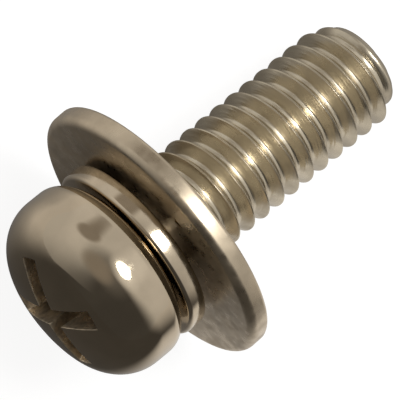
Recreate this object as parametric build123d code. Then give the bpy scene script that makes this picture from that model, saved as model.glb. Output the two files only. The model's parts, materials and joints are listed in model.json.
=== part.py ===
from build123d import *
import math
import os

# An M4 cross-recessed pan head screw that carries two washers it cannot lose:
# a split spring lock washer under the head and a flat washer below it.
# Every piece is built on the screw's own axis, then the whole set is laid down
# as it rests on a table: on the flat washer's edge and on the thread's tip.
# Stations run along the axis, from 0 at the flat washer's bearing face
# towards the tip. Angles run about the axis, counterclockwise seen from the tip.
# Lengths are in mm and angles in degrees.

# Thread, M4 coarse
THREAD_D = 3.98
PITCH = 0.7
THREAD_DEPTH = 0.42
CREST_FLAT = 0.10
FLANK_ANGLE = 60.0
# Station of the crest at angle 0, which sets where each turn shows
CREST_STATION = 0.614
# Points that shape each spiral flank
FLANK_POINTS = 8

# Shank and tip
SHANK_D = 3.46
SHANK_END = 0.55
SHANK_TAPER = 0.30
# The thread starts inside the shank, at less than its root radius, and grows out of it
RUNIN_START = 0.40
RUNIN_DROP = 0.10
THREAD_RUNIN = 1.00
TIP_STATION = 9.43
TIP_D = 3.11
TIP_CHAMFER = 0.74
UNDERHEAD_R = 0.10

# Pan head
HEAD_D = 6.84
HEAD_H = 3.20
SEAT_STATION = -2.10
CROWN_R = 7.0
SHOULDER_R = 1.65
CORNER_R = 0.70

# Cross recess, number 2
RECESS_SPAN = 4.40
RECESS_DEPTH = 2.20
RECESS_FLANK = 26.5
RECESS_POINT = 28.0
WING_W_TOP = 0.98
WING_W_BOTTOM = 0.72
RECESS_CORE_TOP = 1.90
RECESS_CORE_BOTTOM = 1.20
RECESS_TURN = 27.0
# How far the cutter stands out of the crown, so that it cuts right through
CUT_OVERLAP = 0.20

# Flat washer
WASHER_D = 10.10
WASHER_BORE = 3.80
WASHER_T = 0.80
WASHER_EDGE_R = 0.14
# The side towards the head is rolled over more by stamping
WASHER_ROLL_R = 0.30
BORE_EASE = 0.08
# The bearing face's bore is opened out, so that a clearance hole's edge stays clear of it
BEARING_EASE = 0.30

# Spring lock washer
LOCK_D = 6.60
LOCK_BORE = 4.00
LOCK_T = 0.74
LOCK_EDGE_R = 0.15
# Axial distance between the two ends of the coil
LOCK_RISE = 0.48
# Degrees of wire before the slit is sheared out of it
SWEEP = 358.0
LOCK_SLIT = 0.72
SLIT_SLANT = 28.0
# Angle of the coil's lower end, the one that pushes on the flat washer
LOCK_START = -109.0

# Both washers lean on the loose coil: slope of their common axis about the screw
LEAN_X = 0.030
LEAN_Y = 0.087
# Air left between two pieces that lie against each other
CONTACT_GAP = 0.03

# Degrees between which the slope at rest is searched, halved at each step
REST_RANGE = (15.0, 25.0)
REST_STEPS = 12


def on_axis(station):
    """A plane square to the screw's axis at a station."""
    return Plane(origin=(0, 0, station), x_dir=(1, 0, 0), z_dir=(0, 0, 1))


def turned(points):
    """Revolve a closed outline of (radius, station) points about the axis."""
    face = make_face(Plane.XZ * Polyline(*points, close=True))
    return revolve(face, Axis.Z)


def head_and_shank():
    """Head and plain shank in one turned outline."""
    top = SEAT_STATION - HEAD_H
    head_r = HEAD_D / 2
    shoulder_x = head_r - SHOULDER_R
    reach = CROWN_R - SHOULDER_R
    shoulder_s = top + CROWN_R - math.sqrt(reach ** 2 - shoulder_x ** 2)
    tangent = math.asin(shoulder_x / reach)
    join = (CROWN_R * math.sin(tangent), top + CROWN_R * (1 - math.cos(tangent)))
    half = tangent / 2
    crown_mid = (CROWN_R * math.sin(half), top + CROWN_R * (1 - math.cos(half)))
    swing = math.radians(45) + tangent / 2
    shoulder_mid = (
        shoulder_x + SHOULDER_R * math.sin(swing),
        shoulder_s - SHOULDER_R * math.cos(swing),
    )
    corner_s = SEAT_STATION - CORNER_R
    diagonal = CORNER_R * math.sqrt(0.5)
    corner_mid = (head_r - CORNER_R + diagonal, corner_s + diagonal)
    shank_r = SHANK_D / 2
    taper_r = THREAD_D / 2 - THREAD_DEPTH - RUNIN_DROP
    fillet_mid = (
        shank_r + UNDERHEAD_R * (1 - math.sqrt(0.5)),
        SEAT_STATION + UNDERHEAD_R * (1 - math.sqrt(0.5)),
    )
    with BuildPart() as body:
        with BuildSketch(Plane.XZ):
            with BuildLine():
                ThreePointArc((0, top), crown_mid, join)
                ThreePointArc(join, shoulder_mid, (head_r, shoulder_s))
                Line((head_r, shoulder_s), (head_r, corner_s))
                ThreePointArc((head_r, corner_s), corner_mid, (head_r - CORNER_R, SEAT_STATION))
                Line((head_r - CORNER_R, SEAT_STATION), (shank_r + UNDERHEAD_R, SEAT_STATION))
                ThreePointArc(
                    (shank_r + UNDERHEAD_R, SEAT_STATION),
                    fillet_mid,
                    (shank_r, SEAT_STATION + UNDERHEAD_R),
                )
                Polyline(
                    (shank_r, SEAT_STATION + UNDERHEAD_R),
                    (shank_r, SHANK_END),
                    (taper_r, SHANK_END + SHANK_TAPER),
                    (0, SHANK_END + SHANK_TAPER),
                    (0, top),
                )
            make_face()
        revolve(axis=Axis.Z)
    return body.part


def around(angle, radius):
    """A point of the thread's cross-section."""
    turn = math.radians(angle)
    return (radius * math.cos(turn), radius * math.sin(turn))


def thread_section():
    """The thread cut square to the axis: crest arc, two spiral flanks, root arc.

    On a single-start thread a flank that falls evenly along the axis falls
    evenly with the angle too, so in this cut it's a short spiral.
    """
    crest_r = THREAD_D / 2
    root_r = crest_r - THREAD_DEPTH
    degrees = 360 / PITCH
    run = THREAD_DEPTH * math.tan(math.radians(FLANK_ANGLE / 2)) * degrees
    half_crest = CREST_FLAT / 2 * degrees
    middle = (RUNIN_START - CREST_STATION) * degrees
    rising = []
    falling = []
    for i in range(FLANK_POINTS + 1):
        part = i / FLANK_POINTS
        angle = middle - half_crest - run * (1 - part)
        rising.append(around(angle, root_r + THREAD_DEPTH * part))
        angle = middle + half_crest + run * part
        falling.append(around(angle, crest_r - THREAD_DEPTH * part))
    outline = [
        Spline(*rising),
        ThreePointArc(rising[-1], around(middle, crest_r), falling[0]),
        Spline(*falling),
        ThreePointArc(falling[-1], around(middle + 180, root_r), rising[0]),
    ]
    return make_face(outline).moved(Location((0, 0, RUNIN_START))).face()


def threaded_rod():
    """The cut twisted along the axis by one turn a pitch, right-handed."""
    length = TIP_STATION + PITCH / 2 - RUNIN_START
    return Solid.extrude_linear_with_rotation(
        thread_section(),
        (0, 0, RUNIN_START),
        (0, 0, length),
        360 * length / PITCH,
    )


def thread_envelope():
    """The room the thread may fill: run-in at the shank, chamfer at the tip."""
    outer = THREAD_D / 2 + CREST_FLAT
    start_r = THREAD_D / 2 - THREAD_DEPTH - RUNIN_DROP
    slope = (THREAD_D - TIP_D) / 2 / TIP_CHAMFER
    outer_s = TIP_STATION - TIP_CHAMFER - (outer - THREAD_D / 2) / slope
    return turned([
        (0, RUNIN_START),
        (start_r, RUNIN_START),
        (outer, RUNIN_START + THREAD_RUNIN),
        (outer, outer_s),
        (TIP_D / 2, TIP_STATION),
        (0, TIP_STATION),
    ])


def recess_cutter():
    """Four tapered wings inside a cone, with the small core between them."""
    top = SEAT_STATION - HEAD_H - CUT_OVERLAP
    depth = RECESS_DEPTH + CUT_OVERLAP
    bottom = top + depth
    span_r = RECESS_SPAN / 2
    # The span holds where the wings leave the crown, a little below the top
    crown_drop = CROWN_R - math.sqrt(CROWN_R ** 2 - span_r ** 2)
    taper = math.tan(math.radians(RECESS_FLANK))
    cone_top = span_r + (crown_drop + CUT_OVERLAP) * taper
    cone_bottom = cone_top - depth * taper
    point = cone_bottom * math.tan(math.radians(RECESS_POINT))
    cone = turned([(0, top), (cone_top, top), (cone_bottom, bottom), (0, bottom + point)])
    length = 2 * (cone_top + CUT_OVERLAP)
    wing_top = on_axis(top) * Rectangle(length, WING_W_TOP)
    wing_bottom = on_axis(bottom + point) * Rectangle(length, WING_W_BOTTOM)
    wing = loft([wing_top.face(), wing_bottom.face()])
    core_top = on_axis(top) * Rectangle(RECESS_CORE_TOP, RECESS_CORE_TOP, rotation=45)
    core_bottom = on_axis(bottom) * Rectangle(RECESS_CORE_BOTTOM, RECESS_CORE_BOTTOM, rotation=45)
    core = loft([core_top.face(), core_bottom.face()])
    cross = (wing + wing.rotate(Axis.Z, 90)) & cone
    cutter = cross + (core & cone)
    return cutter.rotate(Axis.Z, RECESS_TURN)


def screw():
    """Pan head screw with its rolled thread and driving recess."""
    thread = threaded_rod() & thread_envelope()
    return head_and_shank() - recess_cutter() + thread


def leaning(shape, station):
    """Tip a washer, built around its own middle, and set that middle on the axis."""
    normal = Vector(LEAN_X, LEAN_Y, 1).normalized()
    side = Vector(0, 1, 0).cross(normal).normalized()
    return shape.moved(Location(Plane(origin=(0, 0, station), x_dir=side, z_dir=normal)))


def flat_washer():
    """Stamped washer with rounded outer edges and an eased bore."""
    r = WASHER_D / 2
    bore = WASHER_BORE / 2
    half = WASHER_T / 2
    back_s = half - WASHER_EDGE_R
    front_s = WASHER_ROLL_R - half
    with BuildPart() as ring:
        with BuildSketch(Plane.XZ):
            with BuildLine():
                Polyline(
                    (r - WASHER_ROLL_R, -half),
                    (bore + BORE_EASE, -half),
                    (bore, BORE_EASE - half),
                    (bore, half - BEARING_EASE),
                    (bore + BEARING_EASE, half),
                    (r - WASHER_EDGE_R, half),
                )
                RadiusArc((r - WASHER_EDGE_R, half), (r, back_s), WASHER_EDGE_R)
                Line((r, back_s), (r, front_s))
                RadiusArc((r, front_s), (r - WASHER_ROLL_R, -half), WASHER_ROLL_R)
            make_face()
        revolve(axis=Axis.Z)
    return leaning(ring.part, -half)


def lock_washer():
    """One left-hand turn of rounded flat wire, sheared through at a slant."""
    middle = (LOCK_D + LOCK_BORE) / 4
    width = (LOCK_D - LOCK_BORE) / 2
    rise = LOCK_RISE * SWEEP / 360
    path = Edge.make_helix(LOCK_RISE, rise, middle, lefthand=True)
    section = Plane.XZ * Location((middle, 0)) * RectangleRounded(width, LOCK_T, LOCK_EDGE_R)
    coil = sweep(section, path, is_frenet=True)
    coil = coil.moved(Location((0, 0, -rise / 2))).rotate(Axis.Z, (SWEEP - 360) / 2)
    # Long and wide enough to pass right through the wire, slanted as it is
    slit = Box(2 * width, LOCK_SLIT, 2 * (LOCK_T + LOCK_RISE)).rotate(Axis.X, SLIT_SLANT)
    coil = coil - slit.moved(Location((middle, 0, 0)))
    station = -WASHER_T - CONTACT_GAP - (LOCK_T + LOCK_RISE) / 2
    return leaning(coil.rotate(Axis.Z, LOCK_START), station)


def laid(shape, slope):
    """Turn the axis from upright to lying, its tip down by the slope."""
    tilt = math.radians(slope)
    down = Plane(
        origin=(0, 0, 0),
        x_dir=(0, 1, 0),
        z_dir=(math.cos(tilt), 0, -math.sin(tilt)),
    )
    return shape.moved(Location(down))


def lowest(shape):
    """Height of a shape's lowest point."""
    return shape.bounding_box().min.Z


def rest_slope(body, washer):
    """Slope at which the washer's edge and the thread's tip touch one floor."""
    reach = TIP_CHAMFER + PITCH
    tip = body & on_axis(TIP_STATION) * Box(HEAD_D, HEAD_D, 2 * reach)
    low, high = REST_RANGE
    for _ in range(REST_STEPS):
        middle = (low + high) / 2
        if lowest(laid(washer, middle)) < lowest(laid(tip, middle)):
            low = middle
        else:
            high = middle
    return (low + high) / 2


def main():
    """Build the three pieces, lay them down together and write one file for each."""
    body = screw()
    washer = flat_washer()
    pieces = {"screw": body, "lock_washer": lock_washer(), "flat_washer": washer}
    slope = rest_slope(body, washer)
    laid_down = {}
    for name, shape in pieces.items():
        laid_down[name] = laid(shape, slope)
    box = Compound(children=[s.solid() for s in laid_down.values()]).bounding_box()
    floor = Location((-box.center().X, -box.center().Y, -box.min.Z))
    os.makedirs("parts", exist_ok=True)
    for name, shape in laid_down.items():
        export_step(shape.solid().moved(floor), "parts/" + name + ".step")


main()
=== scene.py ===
import json
import math
from types import SimpleNamespace

import bmesh
import bpy
from mathutils import Matrix, Vector


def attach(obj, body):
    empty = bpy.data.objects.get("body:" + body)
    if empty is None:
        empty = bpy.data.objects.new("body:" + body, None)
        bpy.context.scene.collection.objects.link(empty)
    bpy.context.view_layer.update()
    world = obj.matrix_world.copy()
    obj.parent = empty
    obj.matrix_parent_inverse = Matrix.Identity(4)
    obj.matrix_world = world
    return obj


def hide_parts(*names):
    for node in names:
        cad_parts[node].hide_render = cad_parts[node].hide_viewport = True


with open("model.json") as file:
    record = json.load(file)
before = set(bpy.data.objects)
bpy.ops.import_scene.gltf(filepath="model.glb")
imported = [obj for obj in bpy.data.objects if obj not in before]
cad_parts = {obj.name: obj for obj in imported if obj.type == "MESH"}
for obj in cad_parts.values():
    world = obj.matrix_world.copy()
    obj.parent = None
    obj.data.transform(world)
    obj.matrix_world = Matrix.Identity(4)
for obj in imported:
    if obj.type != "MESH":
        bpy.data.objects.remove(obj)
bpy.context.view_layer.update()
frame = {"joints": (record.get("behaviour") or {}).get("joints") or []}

bl_info = {
    "name": "Screw with captive washers",
    "version": (1, 0, 0),
    "blender": (4, 5, 0),
    "location": "View3D > Sidebar > Screw",
    "description": "Plated pan head screw with a lock washer and a flat washer",
    "category": "Object",
}

# Every piece is modelled in millimetres about the Z axis, from station 0 at the
# flat washer's bearing face towards the tip, and then set in its place.
MM = 0.001
ROUND_STEPS = 240
THREAD_STEPS = 200
# Points nearer than this, in mm, are one point
WELD = 0.0004
# Half of the angle between the thread's flanks
HALF_ANGLE = math.radians(30)
# How far inside the shank, in mm, the thread's surface lies before its run-in
UNDER_SHANK = 0.02
# Least depth in mm that the groove keeps where the tip closes in
LEAST_GROOVE = 0.03
# In metres
FLOOR_WIDTH = 4.0
# The Mix node's colour sockets share their names with others, so they go by place
COLOUR = {"data_type": "RGBA"}
MIX_A, MIX_B, MIX_RESULT = 6, 7, 2


def size(label, description, millimetres):
    """A length that the user can change, given here in mm."""
    return bpy.props.FloatProperty(
        name=label, description=description, default=millimetres * MM, subtype="DISTANCE",
        precision=5)


def angle(label, description, degrees):
    """An angle that the user can change, given here in degrees."""
    return bpy.props.FloatProperty(
        name=label, description=description, default=math.radians(degrees), subtype="ANGLE")


def softness(label, description, default):
    """A roughness that the user can change."""
    return bpy.props.FloatProperty(
        name=label, description=description, default=default, min=0, max=1, subtype="FACTOR")


def measures(group):
    """A group's values with its lengths in mm and its angles in degrees."""
    values = {}
    for key in group.__annotations__:
        subtype = group.bl_rna.properties[key].subtype
        value = getattr(group, key)
        if subtype == "DISTANCE":
            value /= MM
        elif subtype == "ANGLE":
            value = math.degrees(value)
        values[key] = value
    return SimpleNamespace(**values)


class ScrewSizes(bpy.types.PropertyGroup):
    head_d: size("Head diameter", "Diameter of the pan head", 6.84)
    head_h: size("Head height", "Height of the head from its seat", 3.20)
    seat: size("Seat station", "Station of the head's underside", -2.10)
    crown_r: size("Crown radius", "Radius of the head's end", 7.0)
    shoulder_r: size("Shoulder radius", "Radius between crown and side", 1.65)
    corner_r: size("Corner radius", "Radius under the head's side", 0.70)
    underhead_r: size("Fillet radius", "Radius between the seat and the shank", 0.10)
    shank_d: size("Shank diameter", "Diameter of the plain shank", 3.46)
    shank_end: size("Shank end", "Station where the thread's own surface takes over", -0.35)
    shank_taper: size("Shank taper", "Length over which the shank falls away", 0.30)


class ThreadSizes(bpy.types.PropertyGroup):
    thread_d: size("Thread diameter", "Diameter over the crests", 3.98)
    pitch: size("Pitch", "Distance between two crests", 0.7)
    depth: size("Depth", "Depth of the thread", 0.416)
    crest_station: size("Crest station", "Station of a crest at angle 0", 0.614)
    crest_half: size("Crest half width", "Half width of the crest before its corners", 0.014)
    crest_r: size("Crest corner", "Radius of the crest's corners", 0.022)
    seam_depth: size("Seam depth", "Depth of the rolled seam along the crest", 0.012)
    root_r: size("Root radius", "Radius between flank and root", 0.10)
    flank_steps: bpy.props.IntProperty(
        name="Flank steps", description="Points along each flank", default=3)
    blank_d: size("Blank diameter", "Diameter that the thread is rolled into", 3.46)
    runin_start: size("Run-in start", "Station where the dies first mark the shank", -0.25)
    runin: size("Run-in", "Length over which the thread grows to full depth", 1.60)
    tip_station: size("Tip station", "Station of the flat end", 9.43)
    tip_d: size("Tip diameter", "Diameter of the flat end", 3.11)
    tip_chamfer: size("Tip chamfer", "Length over which the thread closes in at the tip", 0.74)
    tip_r: size("Tip rounding", "Radius around the flat end", 0.12)


class RecessSizes(bpy.types.PropertyGroup):
    span: size("Recess span", "Distance across two wings at the crown", 4.40)
    depth: size("Recess depth", "Depth of the wings from the head's end", 2.20)
    wing_top: size("Wing width", "Width of a wing at the head's end", 0.98)
    wing_bottom: size("Wing width below", "Width of a wing at its floor", 0.72)
    core_top: size("Core width", "Width of the square core at the head's end", 1.90)
    core_bottom: size("Core width below", "Width of the square core at its floor", 1.20)
    overlap: size("Overlap", "How far the cutter stands out of the head", 0.20)
    flank: angle("Flank", "Slope of the wings' ends", 26.5)
    point: angle("Point", "Slope of the recess floor", 28.0)
    turn: angle("Turn", "Turn of the recess about the axis", 27.0)


class WasherSizes(bpy.types.PropertyGroup):
    flat_d: size("Flat washer diameter", "Outside diameter of the flat washer", 10.10)
    flat_bore: size("Flat washer bore", "Bore of the flat washer", 3.80)
    flat_t: size("Flat washer thickness", "Thickness of the flat washer", 0.80)
    flat_edge: size("Back edge radius", "Rounding at the bearing face", 0.14)
    flat_roll: size("Front edge radius", "Rounding left on the head's side by stamping", 0.30)
    flat_ease: size("Bore edge", "Chamfer of the bore on the head's side", 0.08)
    bearing_ease: size("Bearing bore edge", "Chamfer of the bore on the bearing face", 0.30)
    lock_d: size("Lock washer diameter", "Outside diameter of the lock washer", 6.60)
    lock_bore: size("Lock washer bore", "Bore of the lock washer", 4.00)
    lock_t: size("Lock washer thickness", "Thickness of the lock washer's wire", 0.74)
    lock_edge: size("Lock washer edge", "Rounding of the wire's corners", 0.15)
    lock_rise: size("Rise", "Axial distance between the coil's ends", 0.48)
    lock_slit: size("Slit", "Width of the slit", 0.72)
    gap: size("Gap", "Air between two pieces that lie together", 0.03)
    lean_x: bpy.props.FloatProperty(
        name="Lean X", description="Sideways slope of both washers", default=0.030)
    lean_y: bpy.props.FloatProperty(
        name="Lean Y", description="Upward slope of both washers", default=0.087)
    sweep: angle("Sweep", "Turn of the lock washer's coil", 358.0)
    slit_slant: angle("Slit slant", "Slant of the slit", 28.0)
    slit_angle: angle("Slit angle", "Place of the slit about the axis", -109.0)


class Finishes(bpy.types.PropertyGroup):
    plating: bpy.props.StringProperty(
        name="Plating", description="Colour of the bright plating", default="#C5B7A0")
    # Painted lighter and less warm than the head's plating, as painted light against the shade
    # between the thread's turns
    lightened_thread_plating: bpy.props.StringProperty(
        name="Thread plating", description="Colour of the plating on the thread",
        default="#CCC2AD")
    screw_roughness: softness("Screw roughness", "Softness of the head's reflections", 0.06)
    recess_roughness: softness("Recess roughness", "Softness of the recess's reflections", 0.50)
    thread_roughness: softness(
        "Thread roughness", "Softness of the rolled thread's reflections", 0.27)
    lock_roughness: softness(
        "Lock washer roughness", "Softness of the lock washer's reflections", 0.12)
    flat_roughness: softness(
        "Flat washer roughness", "Softness of the flat washer's reflections", 0.34)


class StageLooks(bpy.types.PropertyGroup):
    lens: bpy.props.FloatProperty(
        name="Lens", description="Focal length on a 36 mm sensor", default=474.96, unit="CAMERA")
    camera_x: size("Camera X", "Camera place along X", -9.605)
    camera_y: size("Camera Y", "Camera place along Y", -0.144)
    camera_z: size("Camera Z", "Camera height", 182.010)
    tilt_x: angle("Tilt X", "Turn of the camera about X", 1.8491)
    tilt_y: angle("Tilt Y", "Turn of the camera about Y", -2.2678)
    roll: angle("Roll", "Turn of the camera about Z", -39.2097)
    lamp_azimuth: angle("Lamp azimuth", "Direction of the lamp in plan", -24.0)
    lamp_elevation: angle("Lamp elevation", "Height of the lamp over the floor", 60.0)
    lamp_distance: size("Lamp distance", "Distance of the lamp from the part", 500.0)
    lamp_width: size("Lamp width", "Diameter of the lamp", 200.0)
    lamp_radiance: bpy.props.FloatProperty(
        name="Lamp radiance", description="Brightness of the lamp's face", default=11.0)


def linear(hex_colour):
    """An sRGB hex colour as the linear values that the shaders take."""
    channels = [int(hex_colour[i:i + 2], 16) / 255 for i in (1, 3, 5)]
    return [c / 12.92 if c <= 0.04045 else ((c + 0.055) / 1.055) ** 2.4 for c in channels]


def add_node(tree, kind, settings=None, inputs=None):
    """One shader node with its settings and its inputs, each a constant or a socket."""
    node = tree.nodes.new(kind)
    for key, value in (settings or {}).items():
        setattr(node, key, value)
    for key, value in (inputs or {}).items():
        if isinstance(value, bpy.types.NodeSocket):
            tree.links.new(value, node.inputs[key])
        else:
            node.inputs[key].default_value = value
    return node


def new_material(name):
    """A material with an empty node tree."""
    material = bpy.data.materials.new(name)
    material.use_nodes = True
    material.node_tree.nodes.clear()
    return material, material.node_tree


def shade_of(hex_colour, share):
    """The colour at a share of its lightness."""
    return (*[c * share for c in linear(hex_colour)], 1)


# The pattern's size along the screw's axis against its size around it, for drawn lines
ACROSS_AXIS = (1.0, 1.0, 0.04)


def plated(name, colour, roughness, clouds, shades, film, spread, bumps, rim=0, metallic=1.0):
    """Plating that is clouded in tone, uneven in softness and raised by fine bumps.

    clouds and film are the size of their patches in mm, their detail, and the pattern's
    range; shades and spread are the shares of colour and roughness at the range's two
    ends. Each bump is its size and depth in mm, its detail, and for lines the turn of
    the axis that they lie across. rim is the radius in mm that sharp edges show.
    """
    material, tree = new_material(name)
    place = add_node(tree, "ShaderNodeTexCoord").outputs["Object"]
    patches = []
    for (feature, detail, low, high), (start, end) in (
            (clouds, (0, 1)), (film, [share * roughness for share in spread])):
        noise = add_node(tree, "ShaderNodeTexNoise", None, {
            "Vector": place, "Scale": 1 / (feature * MM), "Detail": detail})
        patches.append(add_node(tree, "ShaderNodeMapRange", None, {
            "Value": noise.outputs["Fac"], "From Min": low, "From Max": high,
            "To Min": start, "To Max": end}).outputs["Result"])
    tone, soft = patches
    tint = add_node(tree, "ShaderNodeMix", COLOUR, {
        "Factor": tone, MIX_A: shade_of(colour, shades[0]),
        MIX_B: shade_of(colour, shades[1])})
    surface = {}
    if rim:
        edge = add_node(tree, "ShaderNodeBevel", {"samples": 8}, {"Radius": rim * MM})
        surface["Normal"] = edge.outputs["Normal"]
    for feature, depth, detail, turn in bumps:
        at = place
        if turn:
            at = add_node(tree, "ShaderNodeMapping", {"vector_type": "TEXTURE"}, {
                "Vector": place, "Rotation": turn, "Scale": ACROSS_AXIS}).outputs["Vector"]
        height = add_node(tree, "ShaderNodeTexNoise", None, {
            "Vector": at, "Scale": 1 / (feature * MM), "Detail": detail})
        bump = add_node(tree, "ShaderNodeBump", None, {
            "Strength": 1.0, "Distance": depth * MM, "Height": height.outputs["Fac"],
            **surface})
        surface["Normal"] = bump.outputs["Normal"]
    shader = add_node(tree, "ShaderNodeBsdfPrincipled", None, {
        "Base Color": tint.outputs[MIX_RESULT], "Metallic": metallic, "Roughness": soft,
        **surface})
    add_node(tree, "ShaderNodeOutputMaterial", None, {"Surface": shader.outputs[0]})
    return material


def polished_nickel(looks):
    """Bright nickel on the cold-headed blank."""
    # Nearly a mirror, a little wavy from the header's die, clouded softly by handling
    return plated(
        "polished_nickel", looks.plating, looks.screw_roughness,
        clouds=(1.6, 3, 0.35, 0.65), shades=(0.88, 1.04),
        film=(0.35, 2, 0.35, 0.70), spread=(0.7, 1.9),
        bumps=[(1.1, 0.006, 1, None)], rim=0.05)


def punched_nickel_lightened(looks):
    """Thin nickel in the punched recess."""
    # Grainy from the punch, with rims rolled over that glint. Painted light: its colour runs up
    # to 1.6 times the plating's and it is partly not metal, so that the recess shows lighter
    # than its shade
    return plated(
        "punched_nickel_lightened", looks.plating, looks.recess_roughness,
        clouds=(0.5, 3, 0.35, 0.65), shades=(0.6, 1.6),
        film=(0.5, 3, 0.30, 0.70), spread=(1.0, 0.4),
        bumps=[(0.30, 0.05, 3, None)], rim=0.09, metallic=0.8)


def rolled_nickel(looks):
    """Nickel on the rolled thread."""
    # Smooth with a milky film, and fine lines that the dies drew along the thread; they
    # are about 0.05 mm apart, coarser than the real ones so that they show
    # Its colour is the plating painted lighter, as painted light against the shade between the
    # turns
    return plated(
        "rolled_nickel", looks.lightened_thread_plating, looks.thread_roughness,
        clouds=(0.8, 3, 0.35, 0.65), shades=(0.86, 1.0),
        film=(0.8, 3, 0.30, 0.70), spread=(1.5, 0.7),
        bumps=[(1.2, 0.010, 1, screw_place().to_euler()), (0.5, 0.006, 1, None)])


def barrel_nickel(name, looks, roughness, dent):
    """Nickel over a stamped or coiled washer, plated in a barrel."""
    # Satin, with dull and bright patches where the pieces rubbed against each other
    return plated(
        name, looks.plating, roughness,
        clouds=(1.3, 4, 0.38, 0.62), shades=(0.84, 1.06),
        film=(0.45, 3, 0.35, 0.65), spread=(0.72, 1.25),
        bumps=[(0.9, dent, 2, None)])


def screw_place():
    """Where the screw's own frame lies: its Z runs along the axis towards the tip."""
    spin = next(j for j in frame["joints"] if j["name"] == "washers_spin")
    tipwards = Vector(spin["axis"]).normalized()
    sideways = Vector((0, 1, 0))
    turn = Matrix((sideways, tipwards.cross(sideways), tipwards)).transposed()
    return Matrix.Translation(spin["pos_m"]) @ turn.to_4x4() @ Matrix.Scale(MM, 4)


def washer_place(station, washers):
    """Where a washer's own frame lies: both washers lean on the loose coil."""
    normal = Vector((washers.lean_x, washers.lean_y, 1)).normalized()
    side = Vector((0, 1, 0)).cross(normal).normalized()
    turn = Matrix((side, normal.cross(side), normal)).transposed()
    return screw_place() @ Matrix.Translation((0, 0, station)) @ turn.to_4x4()


def deselect():
    """Object mode with nothing selected, which every new piece starts from."""
    if bpy.context.object and bpy.context.object.mode != "OBJECT":
        bpy.ops.object.mode_set(mode="OBJECT")
    bpy.ops.object.select_all(action="DESELECT")


def make_active(piece):
    """Only this piece selected, and active."""
    deselect()
    piece.select_set(True)
    bpy.context.view_layer.objects.active = piece


class Outline:
    """A section drawn in edit mode, with the radius along X and the station along Z."""

    def __init__(self, name, x, z):
        deselect()
        bpy.ops.mesh.primitive_plane_add(size=0.1, location=(x, 0, z))
        self.piece = bpy.context.object
        self.piece.name = name
        bpy.ops.object.transform_apply(location=True)
        bpy.ops.object.mode_set(mode="EDIT")
        bpy.ops.mesh.select_all(action="SELECT")
        bpy.ops.mesh.merge(type="CENTER")
        self.x, self.z = x, z

    def line(self, x, z):
        """A straight run to a point."""
        step = (x - self.x, 0, z - self.z)
        bpy.ops.mesh.extrude_region_move(TRANSFORM_OT_translate={"value": step})
        self.x, self.z = x, z

    def arc(self, x, z, degrees, steps):
        """An arc about a centre; a positive turn carries +Z towards +X."""
        turn = math.radians(degrees)
        bpy.ops.mesh.spin(steps=steps, angle=-turn, center=(x, 0, z), axis=(0, 1, 0))
        dx, dz = self.x - x, self.z - z
        self.x = x + dx * math.cos(turn) + dz * math.sin(turn)
        self.z = z - dx * math.sin(turn) + dz * math.cos(turn)

    def revolve(self):
        """Turn the section once about the axis."""
        bpy.ops.mesh.select_all(action="SELECT")
        bpy.ops.mesh.spin(
            steps=ROUND_STEPS, angle=2 * math.pi, center=(0, 0, 0), axis=(0, 0, 1))
        return tidy(self.piece)


def tidy(piece):
    """Weld the seams and the poles, and turn every face outwards."""
    make_active(piece)
    bpy.ops.object.mode_set(mode="EDIT")
    bpy.ops.mesh.select_all(action="SELECT")
    bpy.ops.mesh.remove_doubles(threshold=WELD)
    bpy.ops.mesh.normals_make_consistent(inside=False)
    bpy.ops.object.mode_set(mode="OBJECT")
    return piece


def apply_modifier(piece, kind, **settings):
    """Give a piece a modifier and apply it."""
    make_active(piece)
    modifier = piece.modifiers.new(kind.lower(), kind)
    for key, value in settings.items():
        setattr(modifier, key, value)
    bpy.ops.object.modifier_apply(modifier=modifier.name)


def cut_away(piece, cutter, operation="DIFFERENCE"):
    """Cut one closed mesh by another, which is then gone."""
    apply_modifier(piece, "BOOLEAN", operation=operation, object=cutter, solver="EXACT")
    bpy.data.objects.remove(cutter)


def set_in_place(piece, place, crease):
    """Smooth the piece and write its place into its mesh."""
    make_active(piece)
    bpy.ops.object.shade_smooth_by_angle(angle=math.radians(crease))
    piece.matrix_world = place
    bpy.ops.object.transform_apply(location=True, rotation=True, scale=True)


def hand_over(piece, body, node, *materials):
    """Dress the piece and let it stand for its node."""
    for material in materials:
        piece.data.materials.append(material)
    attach(piece, body)
    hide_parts(node)


def head_section(s):
    """Crown, shoulder, side, seat and plain shank, from the head's end downwards."""
    top = s.seat - s.head_h
    side = s.head_d / 2
    shoulder_x = side - s.shoulder_r
    reach = s.crown_r - s.shoulder_r
    tangent = math.degrees(math.asin(shoulder_x / reach))
    shoulder_z = top + s.crown_r - math.sqrt(reach ** 2 - shoulder_x ** 2)
    shank = s.shank_d / 2
    pen = Outline("screw_head", 0, top)
    pen.arc(0, top + s.crown_r, -tangent, steps=20)
    pen.arc(shoulder_x, shoulder_z, tangent - 90, steps=30)
    pen.line(side, s.seat - s.corner_r)
    pen.arc(side - s.corner_r, s.seat - s.corner_r, -90, steps=14)
    pen.line(shank + s.underhead_r, s.seat)
    pen.arc(shank + s.underhead_r, s.seat + s.underhead_r, 90, steps=4)
    pen.line(shank, s.shank_end)
    pen.line(shank - s.shank_taper, s.shank_end + s.shank_taper)
    pen.line(0, s.shank_end + s.shank_taper)
    return pen.revolve()


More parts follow.
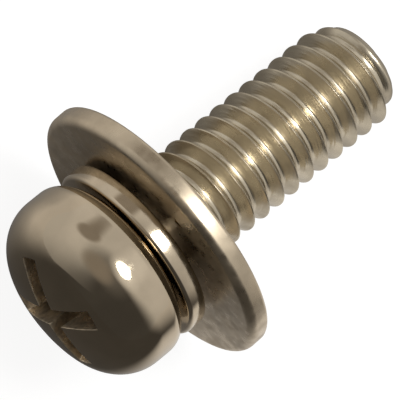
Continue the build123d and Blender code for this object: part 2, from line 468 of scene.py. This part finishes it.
def tapered_bar(name, bottom_z, top_z, bottom_size, top_size):
    """A bar along Z whose two ends differ in size."""
    deselect()
    bpy.ops.mesh.primitive_cube_add(size=1, location=(0, 0, (bottom_z + top_z) / 2))
    bar = bpy.context.object
    bar.name = name
    bar.scale = (top_size[0], top_size[1], top_z - bottom_z)
    bpy.ops.object.transform_apply(location=True, rotation=True, scale=True)
    bpy.ops.object.mode_set(mode="EDIT")
    bpy.ops.mesh.select_all(action="DESELECT")
    shape = bmesh.from_edit_mesh(bar.data)
    for vertex in shape.verts:
        vertex.select = vertex.co.z < (bottom_z + top_z) / 2
    shape.select_flush(True)
    bmesh.update_edit_mesh(bar.data)
    ratio = (bottom_size[0] / top_size[0], bottom_size[1] / top_size[1], 1)
    bpy.ops.transform.resize(value=ratio, center_override=(0, 0, bottom_z))
    bpy.ops.object.mode_set(mode="OBJECT")
    return bar


def turned(piece, degrees):
    """Turn a piece about the axis."""
    make_active(piece)
    piece.rotation_euler.z = math.radians(degrees)
    bpy.ops.object.transform_apply(location=True, rotation=True, scale=True)
    return piece


def recess_cone(r, top, floor, width_top, width_floor):
    """The cone that ends the wings and floors the recess."""
    point = width_floor * math.tan(math.radians(r.point))
    pen = Outline("recess_cone", 0, top)
    pen.line(width_top, top)
    pen.line(width_floor, floor)
    pen.line(0, floor + point)
    return pen.revolve()


def cut_recess(head, s, r):
    """Four tapered wings inside a cone, with the square core between them."""
    top = s.seat - s.head_h - r.overlap
    floor = top + r.depth + r.overlap
    drop = s.crown_r - math.sqrt(s.crown_r ** 2 - (r.span / 2) ** 2)
    taper = math.tan(math.radians(r.flank))
    width_top = r.span / 2 + (drop + r.overlap) * taper
    width_floor = width_top - (floor - top) * taper
    lowest = floor + width_floor * math.tan(math.radians(r.point))
    length = 2 * (width_top + r.overlap)
    for quarter in (0, 90):
        wing = tapered_bar(
            "wing", lowest, top, (length, r.wing_bottom), (length, r.wing_top))
        cone = recess_cone(r, top, floor, width_top, width_floor)
        cut_away(wing, cone, "INTERSECT")
        cut_away(head, turned(wing, r.turn + quarter))
    core = tapered_bar(
        "core", floor, top, (r.core_bottom, r.core_bottom), (r.core_top, r.core_top))
    cut_away(head, turned(core, r.turn + 45))


def mark_recess(head, s, r):
    """Give the faces below the crown inside the recess the second material."""
    # In mm: how far past the span, and how far under the crown, its faces are looked for
    margin, skin = 0.1, 0.01
    centre = Vector((0, 0, s.seat - s.head_h + s.crown_r))
    for face in head.data.polygons:
        middle = face.center
        inside = math.hypot(middle.x, middle.y) < r.span / 2 + margin and middle.z < s.seat
        if inside and (middle - centre).length < s.crown_r - skin:
            face.material_index = 1


def flank(pen, x, z, steps):
    """A straight flank in even steps, which the run-in later bends."""
    from_x, from_z = pen.x, pen.z
    for i in range(1, steps + 1):
        part = i / steps
        pen.line(from_x + (x - from_x) * part, from_z + (z - from_z) * part)


def thread_section(t):
    """One pitch of the thread: seam, crest, flank, root, and the same way back."""
    crest = t.thread_d / 2
    root = crest - t.depth
    # Crest and root each turn by 60 degrees into the flank
    sin60, cos60 = math.sin(math.radians(60)), 0.5
    flank_top = crest - t.crest_r * (1 - cos60)
    flank_foot = root + t.root_r * (1 - cos60)
    run = (flank_top - flank_foot) * math.tan(HALF_ANGLE)
    root_z = t.crest_half + t.crest_r * sin60 + run + t.root_r * sin60
    pen = Outline("screw_thread", crest - t.seam_depth, 0)
    pen.line(crest, t.crest_half)
    pen.arc(crest - t.crest_r, t.crest_half, -60, steps=4)
    flank(pen, flank_foot, pen.z + run, t.flank_steps)
    pen.arc(root + t.root_r, root_z, 60, steps=6)
    pen.line(root, t.pitch / 2)
    pen.line(root, t.pitch - root_z)
    pen.arc(root + t.root_r, t.pitch - root_z, 60, steps=6)
    flank(pen, flank_top, pen.z + run, t.flank_steps)
    pen.arc(crest - t.crest_r, t.pitch - t.crest_half, -60, steps=4)
    pen.line(crest - t.seam_depth, t.pitch)
    bpy.ops.object.mode_set(mode="OBJECT")
    return pen.piece


def ease(value):
    """0 to 1, level at both ends."""
    value = max(0.0, min(1.0, value))
    return value * value * (3 - 2 * value)


def half_rolled(t, offset, growth):
    """Radius where the dies haven't filled the crest: a groove with a lip on each side."""
    blank = t.blank_d / 2
    crest = t.thread_d / 2
    bottom = blank - growth * (blank - crest + t.depth)
    root_half = t.pitch / 2 - t.crest_half - t.depth * math.tan(HALF_ANGLE)
    slope = 1 / math.tan(HALF_ANGLE)
    groove = bottom + max(0.0, t.pitch / 2 - root_half - offset) * slope
    # The lip rises later than the groove sinks, and its outer slope widens, in mm
    lip = (crest - blank) * growth ** 1.3
    lip_width = 0.06 + 0.17 * growth
    lip_at = t.pitch / 2 - root_half - (blank + lip - bottom) / slope
    land = blank + lip * math.exp(min(0.0, offset - lip_at) / lip_width)
    return max(bottom, min(groove, land, crest))


def closed_in(t, radius, station):
    """The whole profile drawn in towards the tip, and rounded off around its flat end."""
    crest = t.thread_d / 2
    end = t.tip_d / 2
    to_go = t.tip_station - station
    limit = end + to_go * (crest - end) / t.tip_chamfer
    if to_go < t.tip_r:
        reach = t.tip_r - max(0.0, to_go)
        limit -= t.tip_r - math.sqrt(t.tip_r ** 2 - reach ** 2)
    if limit >= crest:
        return radius
    root = crest - t.depth
    floor = min(root, limit - LEAST_GROOVE)
    return floor + max(0.0, radius - root) * (limit - floor) / t.depth


def thread_radius(t, radius, bearing, station):
    """Radius of a point of the thread after its run-in and its tip."""
    growth = (station - t.runin_start) / t.runin
    blank = t.blank_d / 2
    if growth <= 0:
        return blank - UNDER_SHANK
    if growth < 1:
        turn = (station - t.crest_station) / t.pitch - bearing / (2 * math.pi)
        offset = abs(turn - round(turn)) * t.pitch
        radius += (half_rolled(t, offset, ease(growth)) - radius) * ease(4 - 4 * growth)
    return closed_in(t, radius, station)


def make_thread(t):
    """The section screwed up the axis, drawn in at both ends and cut flat at the tip."""
    piece = thread_section(t)
    start = t.crest_station - 2 * t.pitch
    turns = math.ceil((t.tip_station - start) / t.pitch)
    apply_modifier(
        piece, "SCREW", axis="Z", angle=2 * math.pi, screw_offset=t.pitch, iterations=turns,
        steps=THREAD_STEPS, render_steps=THREAD_STEPS, use_merge_vertices=True,
        merge_threshold=WELD)
    piece.location.z = start
    bpy.ops.object.transform_apply(location=True)
    tidy(piece)
    for vertex in piece.data.vertices:
        radius = math.hypot(vertex.co.x, vertex.co.y)
        bearing = math.atan2(vertex.co.y, vertex.co.x)
        share = thread_radius(t, radius, bearing, vertex.co.z) / radius
        vertex.co.x *= share
        vertex.co.y *= share
    make_active(piece)
    bpy.ops.object.mode_set(mode="EDIT")
    bpy.ops.mesh.select_all(action="SELECT")
    bpy.ops.mesh.bisect(
        plane_co=(0, 0, t.tip_station), plane_no=(0, 0, 1), use_fill=True, clear_outer=True)
    bpy.ops.object.mode_set(mode="OBJECT")
    return piece


def flat_washer_section(w):
    """The stamped ring: rolled over on the head's side, eased elsewhere."""
    outer, bore, half = w.flat_d / 2, w.flat_bore / 2, w.flat_t / 2
    pen = Outline("flat_ring", bore + w.flat_ease, -half)
    pen.line(outer - w.flat_roll, -half)
    pen.arc(outer - w.flat_roll, -half + w.flat_roll, -90, steps=14)
    pen.line(outer, half - w.flat_edge)
    pen.arc(outer - w.flat_edge, half - w.flat_edge, -90, steps=8)
    pen.line(bore + w.bearing_ease, half)
    pen.line(bore, half - w.bearing_ease)
    pen.line(bore, -half + w.flat_ease)
    pen.line(bore + w.flat_ease, -half)
    return pen.revolve()


def lock_washer_coil(w):
    """One left-hand turn of rounded flat wire."""
    outer, bore, half = w.lock_d / 2, w.lock_bore / 2, w.lock_t / 2
    edge = w.lock_edge
    pen = Outline("lock_coil", bore + edge, -half)
    pen.line(outer - edge, -half)
    pen.arc(outer - edge, -half + edge, -90, steps=8)
    pen.line(outer, half - edge)
    pen.arc(outer - edge, half - edge, -90, steps=8)
    pen.line(bore + edge, half)
    pen.arc(bore + edge, half - edge, -90, steps=8)
    pen.line(bore, -half + edge)
    pen.arc(bore + edge, -half + edge, -90, steps=8)
    bpy.ops.mesh.select_all(action="SELECT")
    bpy.ops.mesh.remove_doubles(threshold=WELD)
    bpy.ops.object.mode_set(mode="OBJECT")
    coil = pen.piece
    rise = w.lock_rise * w.sweep / 360
    apply_modifier(
        coil, "SCREW", axis="Z", angle=-math.radians(w.sweep), screw_offset=rise,
        steps=ROUND_STEPS, render_steps=ROUND_STEPS)
    bpy.ops.object.mode_set(mode="EDIT")
    bpy.ops.mesh.select_all(action="SELECT")
    bpy.ops.mesh.normals_make_consistent(inside=False)
    bpy.ops.mesh.select_all(action="DESELECT")
    bpy.ops.mesh.select_non_manifold()
    bpy.ops.mesh.edge_face_add()
    bpy.ops.object.mode_set(mode="OBJECT")
    coil.location.z = -rise / 2
    coil.rotation_euler.z = math.radians((w.sweep - 360) / 2)
    bpy.ops.object.transform_apply(location=True, rotation=True)
    return tidy(coil)


def cut_slit(coil, w):
    """Shear the coil through at a slant."""
    middle = (w.lock_d + w.lock_bore) / 4
    width = w.lock_d - w.lock_bore
    deselect()
    bpy.ops.mesh.primitive_cube_add(
        size=1, location=(middle, 0, 0), rotation=(math.radians(w.slit_slant), 0, 0))
    slit = bpy.context.object
    slit.scale = (width, w.lock_slit, 2 * (w.lock_t + w.lock_rise))
    bpy.ops.object.transform_apply(location=True, rotation=True, scale=True)
    cut_away(coil, slit)
    return turned(coil, w.slit_angle)


class SCREW_OT_head(bpy.types.Operator):
    """Turn the pan head with its shank and press the cross recess into it"""
    bl_idname = "screw.head"
    bl_label = "Head"

    def execute(self, context):
        scene = context.scene
        sizes, recess = measures(scene.screw_sizes), measures(scene.recess_sizes)
        head = head_section(sizes)
        cut_recess(head, sizes, recess)
        mark_recess(head, sizes, recess)
        set_in_place(head, screw_place(), crease=30)
        looks = scene.finishes
        hand_over(head, "screw", "screw", polished_nickel(looks), punched_nickel_lightened(looks))
        return {"FINISHED"}


class SCREW_OT_thread(bpy.types.Operator):
    """Roll the thread"""
    bl_idname = "screw.thread"
    bl_label = "Thread"

    def execute(self, context):
        scene = context.scene
        thread = make_thread(measures(scene.thread_sizes))
        set_in_place(thread, screw_place(), crease=40)
        hand_over(thread, "screw", "screw", rolled_nickel(scene.finishes))
        return {"FINISHED"}


class SCREW_OT_flat_washer(bpy.types.Operator):
    """Stamp the flat washer"""
    bl_idname = "screw.flat_washer"
    bl_label = "Flat washer"

    def execute(self, context):
        scene = context.scene
        sizes, looks = measures(scene.washer_sizes), scene.finishes
        ring = flat_washer_section(sizes)
        set_in_place(ring, washer_place(-sizes.flat_t / 2, sizes), crease=30)
        finish = barrel_nickel("satin_nickel_flat", looks, looks.flat_roughness, dent=0.005)
        hand_over(ring, "flat_washer", "flat_washer", finish)
        return {"FINISHED"}


class SCREW_OT_lock_washer(bpy.types.Operator):
    """Coil the lock washer and shear its slit"""
    bl_idname = "screw.lock_washer"
    bl_label = "Lock washer"

    def execute(self, context):
        scene = context.scene
        sizes, looks = measures(scene.washer_sizes), scene.finishes
        coil = cut_slit(lock_washer_coil(sizes), sizes)
        station = -sizes.flat_t - sizes.gap - (sizes.lock_t + sizes.lock_rise) / 2
        set_in_place(coil, washer_place(station, sizes), crease=35)
        finish = barrel_nickel("bright_nickel_lock", looks, looks.lock_roughness, dent=0.006)
        hand_over(coil, "lock_washer", "lock_washer", finish)
        return {"FINISHED"}


def direction_to(azimuth, elevation):
    """A unit vector from an azimuth and an elevation in degrees."""
    a, e = math.radians(azimuth), math.radians(elevation)
    return Vector((math.cos(a) * math.cos(e), math.sin(a) * math.cos(e), math.sin(e)))


def grey(level, warmth=0.0):
    """A linear grey, a little warmer or not."""
    return (level * (1 + warmth), level, level * (1 - warmth), 1)


def towards(tree, direction, azimuth, elevation, low, high):
    """Eased from 0 to 1 as the cosine of the angle to a direction goes from low to high."""
    cosine = add_node(tree, "ShaderNodeVectorMath", {"operation": "DOT_PRODUCT"}, {
        0: direction, 1: direction_to(azimuth, elevation)})
    return add_node(tree, "ShaderNodeMapRange", {"interpolation_type": "SMOOTHSTEP"}, {
        "Value": cosine.outputs["Value"], "From Min": low, "From Max": high,
    }).outputs["Result"]


def compass(tree, direction, azimuth, low, high):
    """Eased from 0 to 1 in the same way towards an azimuth, whatever the height."""
    flat = add_node(tree, "ShaderNodeVectorMath", {"operation": "MULTIPLY"}, {
        0: direction, 1: (1, 1, 0)})
    unit = add_node(tree, "ShaderNodeVectorMath", {"operation": "NORMALIZE"}, {
        0: flat.outputs["Vector"]})
    return towards(tree, unit.outputs["Vector"], azimuth, 0, low, high)


def apart(tree, place, point, low, high):
    """Eased from 0 to 1 as the distance to a point goes from low to high, all in mm."""
    distance = add_node(tree, "ShaderNodeVectorMath", {"operation": "DISTANCE"}, {
        0: place, 1: [v * MM for v in point]})
    return add_node(tree, "ShaderNodeMapRange", {"interpolation_type": "SMOOTHSTEP"}, {
        "Value": distance.outputs["Value"], "From Min": low * MM, "From Max": high * MM,
    }).outputs["Result"]


# What the metal shows of the room and the floor, fitted to its reflections
DARK_WALL, DARK_CEILING = grey(0.075, 0.06), grey(0.17, 0.06)
LIT_WALL, LIT_CEILING = grey(0.72, 0.03), grey(0.22, 0.06)
# What the floor emits to the metal, as painted light and shade: dark away from its lit side,
# painted shade under the part, lit further out, and a painted pool of light towards -Y
FLOOR_DARK, FLOOR_PAINTED_SHADE = grey(0.07, 0.08), grey(0.08, 0.08)
FLOOR_LIT, FLOOR_PAINTED_POOL = grey(0.72, 0.05), grey(0.84, 0.04)
WHITE = grey(1.0)
# Spots in the room: azimuth, elevation, outer and inner angle in degrees, and colour.
# Two are dark things on the lit side, and the last is the lamp's own halo.
ROOM_SPOTS = (
    (60, 36, 19, 11, grey(0.30, 0.12)),
    (145, 74, 28, 6, grey(0.30, 0.12)),
    (-30, 58, 28, 2, grey(1.0, 0.02)),
)


def make_room():
    """The dim room that the metal shows: its lit side, its dark side and its ceiling."""
    world = bpy.data.worlds.new("room")
    bpy.context.scene.world = world
    world.use_nodes = True
    tree = world.node_tree
    tree.nodes.clear()
    direction = add_node(tree, "ShaderNodeTexCoord").outputs["Generated"]
    overhead = towards(tree, direction, 0, 90, 0.73, 1.04)
    # The half of the room towards +X is lit, with soft ends. So is the part towards +Y
    # that lies above a straight slanting edge, more faintly the further round it is
    front = compass(tree, direction, 13, -0.26, 0.26)
    shelf = towards(tree, direction, 69, 46, -0.015, 0.02)
    back = compass(tree, direction, 79, -0.40, 1.0)
    beyond = add_node(tree, "ShaderNodeMath", {"operation": "MULTIPLY"}, {0: shelf, 1: back})
    lit = add_node(tree, "ShaderNodeMath", {"operation": "MAXIMUM"}, {
        0: front, 1: beyond.outputs[0]})
    dim = add_node(tree, "ShaderNodeMix", COLOUR, {
        "Factor": overhead, MIX_A: DARK_WALL, MIX_B: DARK_CEILING})
    walls = add_node(tree, "ShaderNodeMix", COLOUR, {
        "Factor": overhead, MIX_A: LIT_WALL, MIX_B: LIT_CEILING})
    layers = [(lit.outputs[0], walls.outputs[MIX_RESULT])]
    for azimuth, elevation, outer, inner, colour in ROOM_SPOTS:
        spot = towards(
            tree, direction, azimuth, elevation,
            math.cos(math.radians(outer)), math.cos(math.radians(inner)))
        layers.append((spot, colour))
    # The backdrop is white to the camera
    path = add_node(tree, "ShaderNodeLightPath")
    layers.append((path.outputs["Is Camera Ray"], WHITE))
    room = dim.outputs[MIX_RESULT]
    for share, colour in layers:
        room = add_node(tree, "ShaderNodeMix", COLOUR, {
            "Factor": share, MIX_A: room, MIX_B: colour}).outputs[MIX_RESULT]
    background = add_node(tree, "ShaderNodeBackground", None, {"Color": room, "Strength": 1.0})
    add_node(tree, "ShaderNodeOutputWorld", None, {"Surface": background.outputs[0]})


def make_floor():
    """Pale floor under the part: white to the camera, dim and warm in the metal, where it emits
    painted shade and painted light.
    """
    deselect()
    bpy.ops.mesh.primitive_plane_add(size=FLOOR_WIDTH, location=(0, 0, 0))
    floor = bpy.context.object
    floor.name = "floor"
    material, tree = new_material("pale_floor")
    place = add_node(tree, "ShaderNodeTexCoord").outputs["Object"]
    side = add_node(tree, "ShaderNodeMath", {"operation": "MAXIMUM"}, {
        0: compass(tree, place, 13, -0.26, 0.26), 1: compass(tree, place, 79, 0.05, 0.90)})
    # In the metal: painted shade under the part and painted light further out towards +X and +Y,
    # with a painted pool of light towards -Y
    painted_shade_falloff = apart(tree, place, (0, 0, 0), -4, 28)
    painted_pool = apart(tree, place, (0.5, -8.5, 0), 11.5, 3)
    floor_light_and_shade = FLOOR_DARK
    out = add_node(tree, "ShaderNodeMix", COLOUR, {
        "Factor": painted_shade_falloff, MIX_A: FLOOR_PAINTED_SHADE, MIX_B: FLOOR_LIT})
    for share, colour in ((side.outputs[0], out.outputs[MIX_RESULT]), (painted_pool, FLOOR_PAINTED_POOL)):
        floor_light_and_shade = add_node(tree, "ShaderNodeMix", COLOUR, {
            "Factor": share, MIX_A: floor_light_and_shade, MIX_B: colour}).outputs[MIX_RESULT]
    dim = add_node(tree, "ShaderNodeEmission", None, {"Color": floor_light_and_shade, "Strength": 1.0})
    paper = add_node(tree, "ShaderNodeBsdfDiffuse", None, {"Color": grey(0.80)})
    glow = add_node(tree, "ShaderNodeEmission", None, {"Color": WHITE, "Strength": 1.24})
    # White where the lamp reaches it, with a faint shadow under the part
    white = add_node(tree, "ShaderNodeMixShader", None, {
        0: 0.7, 1: paper.outputs[0], 2: glow.outputs[0]})
    path = add_node(tree, "ShaderNodeLightPath")
    in_metal = add_node(tree, "ShaderNodeMixShader", None, {
        0: path.outputs["Is Glossy Ray"], 1: paper.outputs[0], 2: dim.outputs[0]})
    surface = add_node(tree, "ShaderNodeMixShader", None, {
        0: path.outputs["Is Camera Ray"], 1: in_metal.outputs[0], 2: white.outputs[0]})
    add_node(tree, "ShaderNodeOutputMaterial", None, {"Surface": surface.outputs[0]})
    floor.data.materials.append(material)


def make_lamp(looks):
    """A round soft lamp that looks at the part."""
    data = bpy.data.lights.new("lamp", "AREA")
    data.shape = "DISK"
    data.size = looks.lamp_width * MM
    # A disk of this size and power has the wanted radiance seen face on
    data.energy = looks.lamp_radiance * math.pi * math.pi * (data.size / 2) ** 2
    lamp = bpy.data.objects.new("lamp", data)
    bpy.context.scene.collection.objects.link(lamp)
    direction = direction_to(looks.lamp_azimuth, looks.lamp_elevation)
    lamp.location = direction * looks.lamp_distance * MM
    lamp.rotation_euler = direction.to_track_quat("Z", "Y").to_euler()


def make_camera(looks):
    """The photograph's long, nearly overhead view."""
    data = bpy.data.cameras.new("camera")
    data.sensor_width = 36.0
    data.lens = looks.lens
    data.clip_start = 0.01
    data.clip_end = 10.0
    camera = bpy.data.objects.new("camera", data)
    bpy.context.scene.collection.objects.link(camera)
    camera.rotation_euler = [math.radians(t) for t in (looks.tilt_x, looks.tilt_y, looks.roll)]
    camera.location = [v * MM for v in (looks.camera_x, looks.camera_y, looks.camera_z)]
    bpy.context.scene.camera = camera


class SCREW_OT_stage(bpy.types.Operator):
    """Make the floor, the room, the lamp and the camera"""
    bl_idname = "screw.stage"
    bl_label = "Stage"

    def execute(self, context):
        make_room()
        make_floor()
        looks = measures(context.scene.stage_looks)
        make_lamp(looks)
        make_camera(looks)
        context.scene.view_settings.view_transform = "Standard"
        return {"FINISHED"}


class SCREW_PT_panel(bpy.types.Panel):
    bl_idname = "SCREW_PT_panel"
    bl_label = "Screw"
    bl_space_type = "VIEW_3D"
    bl_region_type = "UI"
    bl_category = "Screw"

    def draw(self, context):
        for name, group in GROUPS.items():
            for key in group.__annotations__:
                self.layout.prop(getattr(context.scene, name), key)
        for operator in OPERATORS:
            self.layout.operator(operator.bl_idname)


GROUPS = {
    "screw_sizes": ScrewSizes,
    "thread_sizes": ThreadSizes,
    "recess_sizes": RecessSizes,
    "washer_sizes": WasherSizes,
    "finishes": Finishes,
    "stage_looks": StageLooks,
}
OPERATORS = (
    SCREW_OT_head, SCREW_OT_thread, SCREW_OT_flat_washer, SCREW_OT_lock_washer, SCREW_OT_stage,
)
CLASSES = (*GROUPS.values(), *OPERATORS, SCREW_PT_panel)


def register():
    for cls in CLASSES:
        bpy.utils.register_class(cls)
    for name, group in GROUPS.items():
        setattr(bpy.types.Scene, name, bpy.props.PointerProperty(type=group))


def unregister():
    for name in GROUPS:
        delattr(bpy.types.Scene, name)
    for cls in reversed(CLASSES):
        bpy.utils.unregister_class(cls)


def main():
    register()
    bpy.ops.screw.head()
    bpy.ops.screw.thread()
    bpy.ops.screw.flat_washer()
    bpy.ops.screw.lock_washer()
    bpy.ops.screw.stage()


if __name__ == "__main__":
    main()
